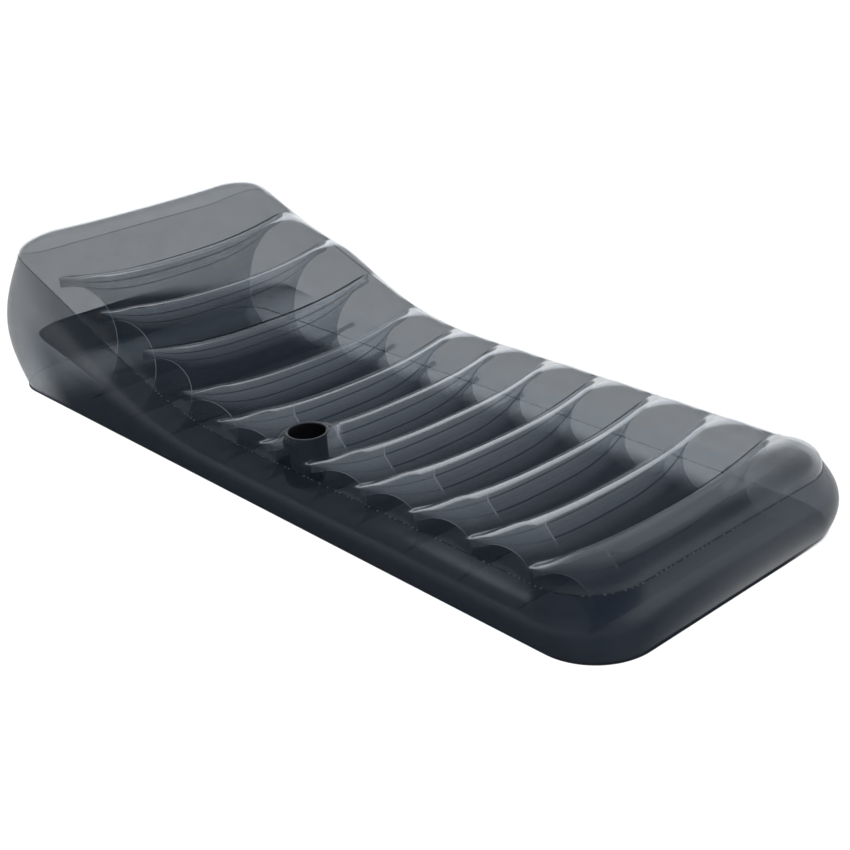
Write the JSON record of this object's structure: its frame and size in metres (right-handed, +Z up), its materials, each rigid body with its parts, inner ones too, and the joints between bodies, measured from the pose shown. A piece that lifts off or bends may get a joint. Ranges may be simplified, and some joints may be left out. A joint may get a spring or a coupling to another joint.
{
  "type": "inflatable pool lounger",
  "caption": "Inflatable ribbed pool lounger in clear smoke vinyl with a raised head end, inner webs, a sunk cup holder and an inflation valve.",
  "frame": {"origin": "centre of the footprint, bulges included, on the surface that the lounger lies on", "axes": "+X towards the foot end along the length, +Y across, +Z up"},
  "size_m": [1.8345, 0.7242, 0.3524],
  "materials": {
    "smoke_vinyl": "clear smoke-tinted PVC film, glossy",
    "web_vinyl": "clear light smoke PVC film",
    "black_vinyl": "opaque black PVC",
    "valve_vinyl": "moulded soft dark grey PVC"
  },
  "bodies": {
    "lounger": {"bottom_sheet": "smoke_vinyl", "cup_holder": "black_vinyl", "cup_ring": "valve_vinyl", "i_beam_01": "web_vinyl", "i_beam_02": "web_vinyl", "i_beam_03": "web_vinyl", "i_beam_04": "web_vinyl", "i_beam_05": "web_vinyl", "i_beam_06": "web_vinyl", "i_beam_07": "web_vinyl", "i_beam_08": "web_vinyl", "i_beam_09": "web_vinyl", "i_beam_10": "web_vinyl", "i_beam_11": "web_vinyl", "side_wall": "smoke_vinyl", "top_sheet": "smoke_vinyl", "valve_base": "valve_vinyl"},
    "stem": {"valve_stem": "valve_vinyl"},
    "plug": {"valve_plug": "black_vinyl"},
    "flap": {"valve_flap": "black_vinyl"}
  },
  "joints": [
    {"name": "stem_pull_out", "type": "slide", "parent": "lounger", "child": "stem", "axis": [-0.9746, 0, -0.2237], "range_m": [0, 0.012]},
    {"name": "plug_pull_out", "type": "slide", "parent": "stem", "child": "plug", "axis": [-0.9746, 0, -0.2237], "range_m": [0, 0.01]},
    {"name": "flap_hinge", "type": "hinge", "parent": "stem", "child": "flap", "pos_m": [-0.8977, 0.1, 0.05883], "axis": [0, -1, 0], "range_deg": [0, 35], "stiffness_Nm_per_rad": 0.002}
  ]
}
